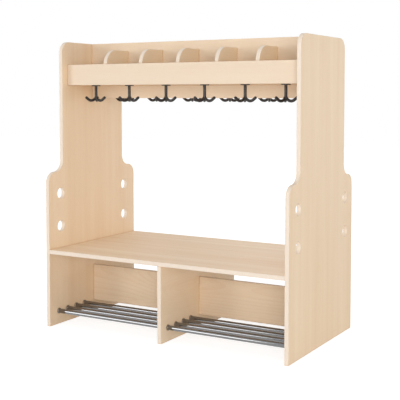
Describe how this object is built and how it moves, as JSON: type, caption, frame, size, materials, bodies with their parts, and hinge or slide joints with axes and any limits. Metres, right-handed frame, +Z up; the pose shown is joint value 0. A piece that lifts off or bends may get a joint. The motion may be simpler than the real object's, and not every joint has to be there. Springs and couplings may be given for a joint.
{
  "type": "cloakroom bench",
  "caption": "Double-sided cloakroom bench: stepped laminate side panels, seat, compartment shelves, swivelling triple coat hooks and chromed shoe racks under the seat.",
  "frame": {"origin": "middle of the footprint, on the floor", "axes": "+X along the seat to the right as seen from the front, +Y from front to rear, +Z up"},
  "size_m": [1.2, 0.67, 1.29],
  "materials": {
    "laminate": "satin maple-look laminate with paler banded edges",
    "tube_chrome": "polished dark chrome plate",
    "bush_chrome": "satin dark chrome plate",
    "hook_metal": "satin graphite enamel",
    "rivet_steel": "plain steel",
    "screw_steel": "blackened steel",
    "dowel_beech": "raw beech",
    "cam_zinc": "bright zinc"
  },
  "bodies": {
    "frame": {"left_side_panel": "laminate", "right_side_panel": "laminate", "bench_top": "laminate", "seat_divider": "laminate", "lower_spine_left": "laminate", "lower_spine_right": "laminate", "upper_spine": "laminate", "front_shelf": "laminate", "front_lip": "laminate", "rear_shelf": "laminate", "rear_lip": "laminate", "front_compartment_divider_1": "laminate", "front_compartment_divider_2": "laminate", "front_compartment_divider_3": "laminate", "front_compartment_divider_4": "laminate", "front_compartment_divider_5": "laminate", "rear_compartment_divider_1": "laminate", "rear_compartment_divider_2": "laminate", "rear_compartment_divider_3": "laminate", "rear_compartment_divider_4": "laminate", "rear_compartment_divider_5": "laminate", "front_left_rack_tubes": "tube_chrome", "front_right_rack_tubes": "tube_chrome", "rear_left_rack_tubes": "tube_chrome", "rear_right_rack_tubes": "tube_chrome", "dowels": "dowel_beech", "through_dowels": "dowel_beech", "cam_bolts": "cam_zinc", "cam_housings": "cam_zinc", "tube_bushes": "bush_chrome", "hook_screws": "screw_steel", "hook_flanges": "hook_metal"},
    "front_hook_1_swivel": {"front_hook_1": "hook_metal", "front_hook_1_rivet": "rivet_steel"},
    "front_hook_2_swivel": {"front_hook_2": "hook_metal", "front_hook_2_rivet": "rivet_steel"},
    "front_hook_3_swivel": {"front_hook_3": "hook_metal", "front_hook_3_rivet": "rivet_steel"},
    "front_hook_4_swivel": {"front_hook_4": "hook_metal", "front_hook_4_rivet": "rivet_steel"},
    "front_hook_5_swivel": {"front_hook_5": "hook_metal", "front_hook_5_rivet": "rivet_steel"},
    "front_hook_6_swivel": {"front_hook_6": "hook_metal", "front_hook_6_rivet": "rivet_steel"},
    "rear_hook_1_swivel": {"rear_hook_1": "hook_metal", "rear_hook_1_rivet": "rivet_steel"},
    "rear_hook_2_swivel": {"rear_hook_2": "hook_metal", "rear_hook_2_rivet": "rivet_steel"},
    "rear_hook_3_swivel": {"rear_hook_3": "hook_metal", "rear_hook_3_rivet": "rivet_steel"},
    "rear_hook_4_swivel": {"rear_hook_4": "hook_metal", "rear_hook_4_rivet": "rivet_steel"},
    "rear_hook_5_swivel": {"rear_hook_5": "hook_metal", "rear_hook_5_rivet": "rivet_steel"},
    "rear_hook_6_swivel": {"rear_hook_6": "hook_metal", "rear_hook_6_rivet": "rivet_steel"}
  },
  "joints": [
    {"name": "front_hook_1_turn", "type": "hinge", "parent": "frame", "child": "front_hook_1_swivel", "pos_m": [-0.4805, -0.114, 1.089], "axis": [0, 0, 1], "continuous": true},
    {"name": "front_hook_2_turn", "type": "hinge", "parent": "frame", "child": "front_hook_2_swivel", "pos_m": [-0.29407, -0.114, 1.089], "axis": [0, 0, 1], "continuous": true},
    {"name": "front_hook_3_turn", "type": "hinge", "parent": "frame", "child": "front_hook_3_swivel", "pos_m": [-0.09802, -0.114, 1.089], "axis": [0, 0, 1], "continuous": true},
    {"name": "front_hook_4_turn", "type": "hinge", "parent": "frame", "child": "front_hook_4_swivel", "pos_m": [0.09802, -0.114, 1.089], "axis": [0, 0, 1], "continuous": true},
    {"name": "front_hook_5_turn", "type": "hinge", "parent": "frame", "child": "front_hook_5_swivel", "pos_m": [0.29407, -0.114, 1.089], "axis": [0, 0, 1], "continuous": true},
    {"name": "front_hook_6_turn", "type": "hinge", "parent": "frame", "child": "front_hook_6_swivel", "pos_m": [0.4805, -0.114, 1.089], "axis": [0, 0, 1], "continuous": true},
    {"name": "rear_hook_1_turn", "type": "hinge", "parent": "frame", "child": "rear_hook_1_swivel", "pos_m": [-0.4805, 0.114, 1.089], "axis": [0, 0, 1], "continuous": true},
    {"name": "rear_hook_2_turn", "type": "hinge", "parent": "frame", "child": "rear_hook_2_swivel", "pos_m": [-0.29407, 0.114, 1.089], "axis": [0, 0, 1], "continuous": true},
    {"name": "rear_hook_3_turn", "type": "hinge", "parent": "frame", "child": "rear_hook_3_swivel", "pos_m": [-0.09802, 0.114, 1.089], "axis": [0, 0, 1], "continuous": true},
    {"name": "rear_hook_4_turn", "type": "hinge", "parent": "frame", "child": "rear_hook_4_swivel", "pos_m": [0.09802, 0.114, 1.089], "axis": [0, 0, 1], "continuous": true},
    {"name": "rear_hook_5_turn", "type": "hinge", "parent": "frame", "child": "rear_hook_5_swivel", "pos_m": [0.29407, 0.114, 1.089], "axis": [0, 0, 1], "continuous": true},
    {"name": "rear_hook_6_turn", "type": "hinge", "parent": "frame", "child": "rear_hook_6_swivel", "pos_m": [0.4805, 0.114, 1.089], "axis": [0, 0, 1], "continuous": true}
  ]
}
